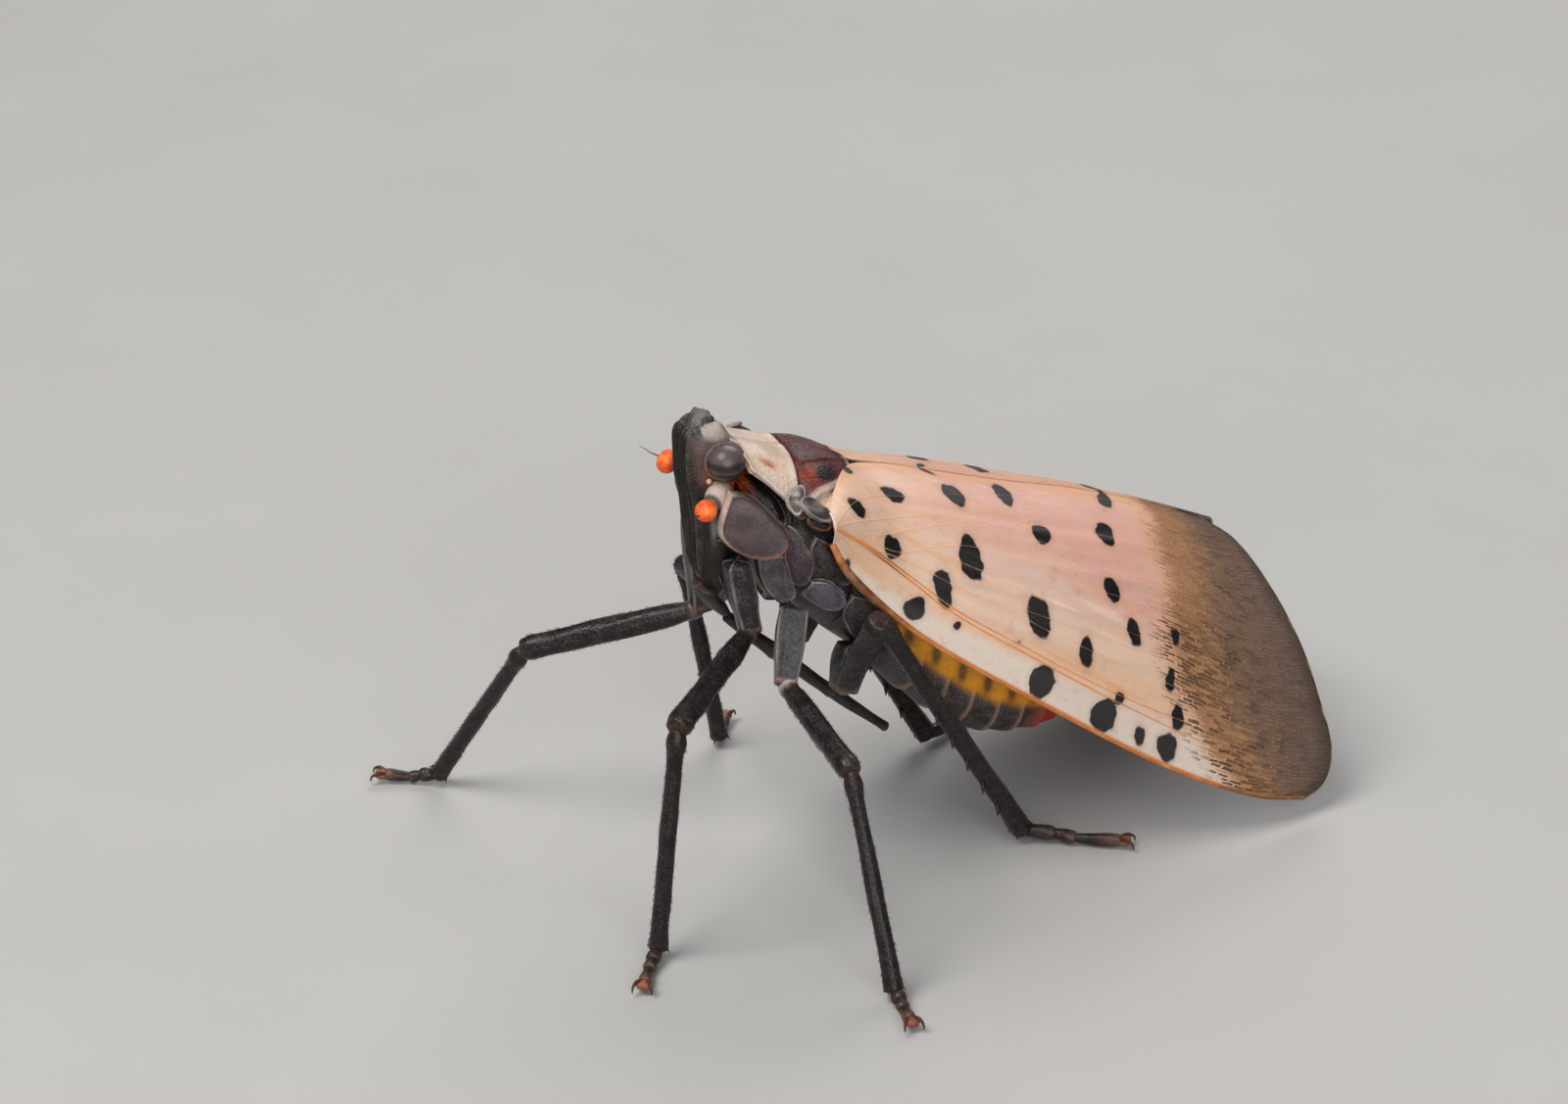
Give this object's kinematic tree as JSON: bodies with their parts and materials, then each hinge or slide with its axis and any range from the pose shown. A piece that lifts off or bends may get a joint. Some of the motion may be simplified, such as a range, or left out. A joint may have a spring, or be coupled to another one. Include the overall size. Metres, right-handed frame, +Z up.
{
  "type": "spotted lanternfly",
  "caption": "Adult spotted lanternfly standing on its legs with raised head and spotted forewings folded like a roof over the body.",
  "frame": {"origin": "middle of the underside of the bounding box, on the surface that the feet stand on", "axes": "+Z up, the head points to -Y and the wing tips to +Y, +X towards the insect's left side"},
  "size_m": [0.021, 0.0278, 0.0153],
  "materials": {
    "cuticle": "dark grey-brown, bloomed, low sheen",
    "face": "black-brown, satin to glossy",
    "eye": "grey-violet, glossy",
    "antenna_cup": "grey-tan, matt",
    "antenna_bulb": "bright orange, finely grained",
    "pronotum": "cream-tan, satin",
    "mesonotum": "maroon-brown, satin",
    "side_lobe": "violet-brown with a tan rim, matt",
    "abdomen": "yellow with black bands, satin",
    "forewing": "grey-pink with black spots and a brown net at the end, satin",
    "hindwing": "red with black spots, a white band and a black end, satin",
    "leg": "black-grey, satin"
  },
  "bodies": {
    "root": {"head": "face", "clypeus": "face", "rostrum": "cuticle", "eye_left": "eye", "eye_right": "eye", "antenna_cup_left": "antenna_cup", "antenna_cup_right": "antenna_cup", "antenna_bulb_left": "antenna_bulb", "antenna_bulb_right": "antenna_bulb", "prothorax": "cuticle", "mesothorax": "cuticle", "metathorax": "cuticle", "pronotum": "pronotum", "mesonotum": "mesonotum", "side_lobe_left": "side_lobe", "side_lobe_right": "side_lobe", "tegula_left": "cuticle", "tegula_right": "cuticle", "abdomen": "abdomen", "abdomen_tip": "cuticle", "forewing_left": "forewing", "forewing_right": "forewing", "hindwing_left": "hindwing", "hindwing_right": "hindwing", "coxa_fore_left": "leg", "femur_fore_left": "leg", "tibia_fore_left": "leg", "tarsus_fore_left": "leg", "coxa_fore_right": "leg", "femur_fore_right": "leg", "tibia_fore_right": "leg", "tarsus_fore_right": "leg", "coxa_mid_left": "leg", "femur_mid_left": "leg", "tibia_mid_left": "leg", "tarsus_mid_left": "leg", "coxa_mid_right": "leg", "femur_mid_right": "leg", "tibia_mid_right": "leg", "tarsus_mid_right": "leg", "coxa_hind_left": "leg", "femur_hind_left": "leg", "tibia_hind_left": "leg", "tarsus_hind_left": "leg", "coxa_hind_right": "leg", "femur_hind_right": "leg", "tibia_hind_right": "leg", "tarsus_hind_right": "leg"}
  },
  "joints": []
}
